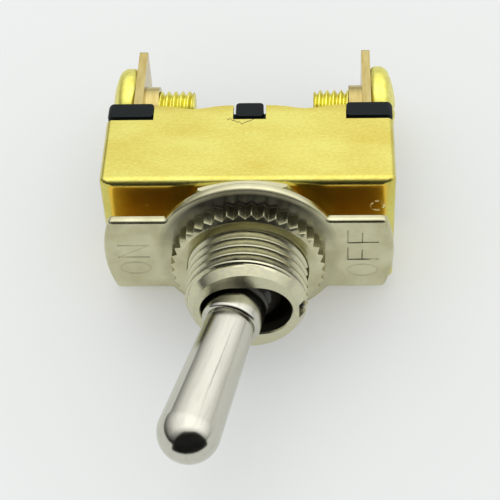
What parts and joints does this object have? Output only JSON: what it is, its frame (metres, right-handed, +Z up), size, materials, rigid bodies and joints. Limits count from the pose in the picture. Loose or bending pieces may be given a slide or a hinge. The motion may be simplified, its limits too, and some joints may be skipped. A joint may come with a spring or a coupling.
{
  "type": "toggle light switch",
  "caption": "Panel-mounted toggle switch with a bat-handle lever, threaded bushing, legend plate, crimped case and screw terminals.",
  "frame": {"origin": "on the bushing's axis, at the front face of the case", "axes": "-Y along the bushing, towards the lever's handle; +Y towards the terminals; +X towards the OFF end of the legend plate; +Z up, square to the lever's swing"},
  "size_m": [0.0304, 0.0511, 0.0184],
  "materials": {
    "brass_plated_sheet": "bright plated",
    "black_phenolic": "moulded",
    "vulcanised_fibre": "pressed sheet",
    "nickel_plated_zinc": "nickel plated",
    "nickel_plate": "nickel plated",
    "nickel_plated_brass": "turned and nickel plated",
    "steel": "ground",
    "spring_steel": "drawn wire",
    "nylon": "moulded",
    "copper": "stamped",
    "silver": "cold headed",
    "brass_strip": "stamped strip",
    "brass_screw": "turned, bright"
  },
  "bodies": {
    "housing": {"case": "brass_plated_sheet", "base": "black_phenolic", "insulating_liner": "vulcanised_fibre", "bushing": "nickel_plated_zinc", "hex_nut": "nickel_plate", "legend_plate": "nickel_plate", "knurled_nut": "nickel_plate", "left_terminal": "brass_strip", "right_terminal": "brass_strip", "left_terminal_screw": "brass_screw", "right_terminal_screw": "brass_screw", "terminal_rivets": "brass_strip", "fulcrum": "brass_strip", "fixed_contact": "silver"},
    "lever": {"lever": "nickel_plated_brass", "pivot_pin": "steel", "plunger_spring": "spring_steel"},
    "plunger": {"plunger": "nylon"},
    "rocker": {"rocker": "copper", "moving_contact": "silver"}
  },
  "joints": [
    {"name": "lever_pivot", "type": "hinge", "parent": "housing", "child": "lever", "pos_m": [0, -0.0063, 0], "axis": [0, 0, 1], "range_deg": [0, 29]},
    {"name": "rocker_tilt", "type": "hinge", "parent": "housing", "child": "rocker", "pos_m": [0, 0.00773, 0], "axis": [0, 0, 1], "range_deg": [-16.01, 0]},
    {"name": "plunger_slide", "type": "slide", "parent": "lever", "child": "plunger", "axis": [0.2504, 0.9681, 0], "range_m": [-0.0012, 0], "stiffness_N_per_m": 300, "springref_m": 0.002, "deforming": ["plunger_spring"]}
  ],
  "couplings": [
    {"joint": "rocker_tilt", "follows": "lever_pivot", "ratio": -0.55172}
  ]
}
